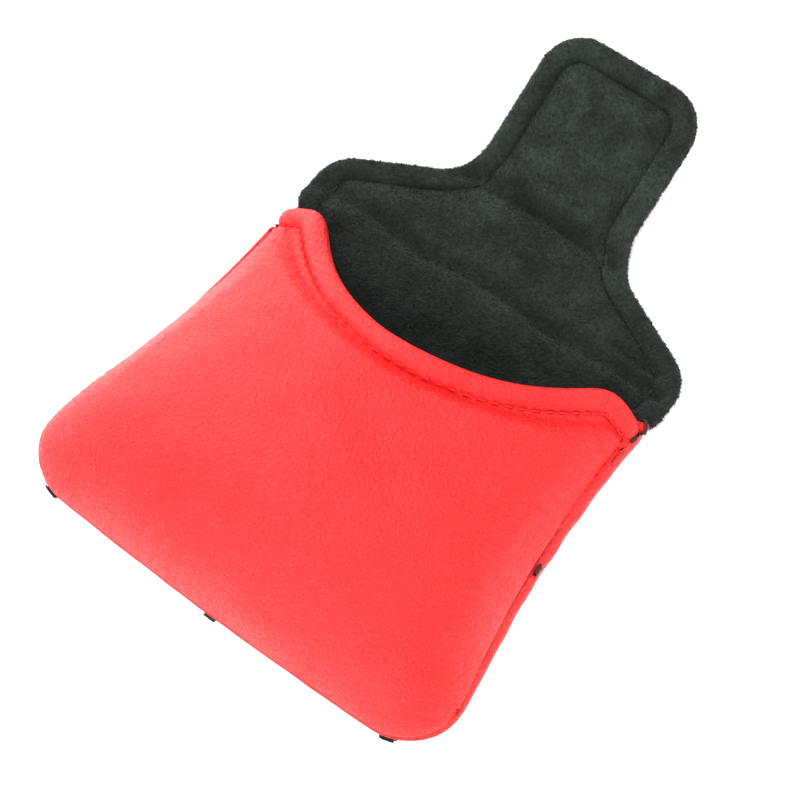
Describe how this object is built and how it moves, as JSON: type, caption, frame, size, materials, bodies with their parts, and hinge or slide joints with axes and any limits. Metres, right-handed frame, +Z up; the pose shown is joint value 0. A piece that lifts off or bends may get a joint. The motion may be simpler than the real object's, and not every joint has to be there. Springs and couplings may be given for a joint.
{
  "type": "putter head cover",
  "caption": "Padded leather pouch with a plush lining for a mallet putter's head, with a folding flap whose tongue closes on the front by hidden magnets; it lies open on its back.",
  "frame": {"origin": "on the surface that the open cover lies on, under the middle of its length and width", "axes": "+X across the pouch, +Y from the pouch's closed end to the tongue's tip, +Z up, out of the pouch's front"},
  "size_m": [0.133, 0.1908, 0.03],
  "materials": {
    "red_leather": "satin",
    "black_plush": "matte",
    "padding": "matte",
    "red_thread": "satin",
    "black_thread": "satin",
    "magnet": "satin",
    "pocket_cloth": "matte"
  },
  "bodies": {
    "pouch": {"back_panel": "red_leather", "back_foam": "padding", "back_lining": "black_plush", "back_trim": "black_thread", "front_panel": "red_leather", "front_foam": "padding", "front_lining": "black_plush", "mouth_binding": "red_leather", "mouth_topstitch": "red_thread", "mouth_bartack_left": "black_thread", "mouth_bartack_right": "black_thread", "side_seam_thread": "red_thread", "front_magnet": "magnet", "front_magnet_patch": "pocket_cloth"},
    "flap": {"flap_cover": "red_leather", "flap_foam": "padding", "flap_lining": "black_plush", "flap_edge_left": "black_plush", "flap_edge_right": "black_plush", "flap_stitching": "black_thread"},
    "tongue": {"tongue_cover": "red_leather", "tongue_foam": "padding", "tongue_lining": "black_plush", "tongue_edge": "black_plush", "tongue_stitching": "black_thread", "tongue_magnet": "magnet", "tongue_magnet_patch": "pocket_cloth"}
  },
  "joints": [
    {"name": "flap_fold", "type": "hinge", "parent": "pouch", "child": "flap", "pos_m": [0, 0.02055, 0.00675], "axis": [1, 0, 0], "range_deg": [0, 100]},
    {"name": "tongue_fold", "type": "hinge", "parent": "flap", "child": "tongue", "pos_m": [0, 0.04905, 0.00675], "axis": [1, 0, 0], "range_deg": [-28, 56]}
  ]
}
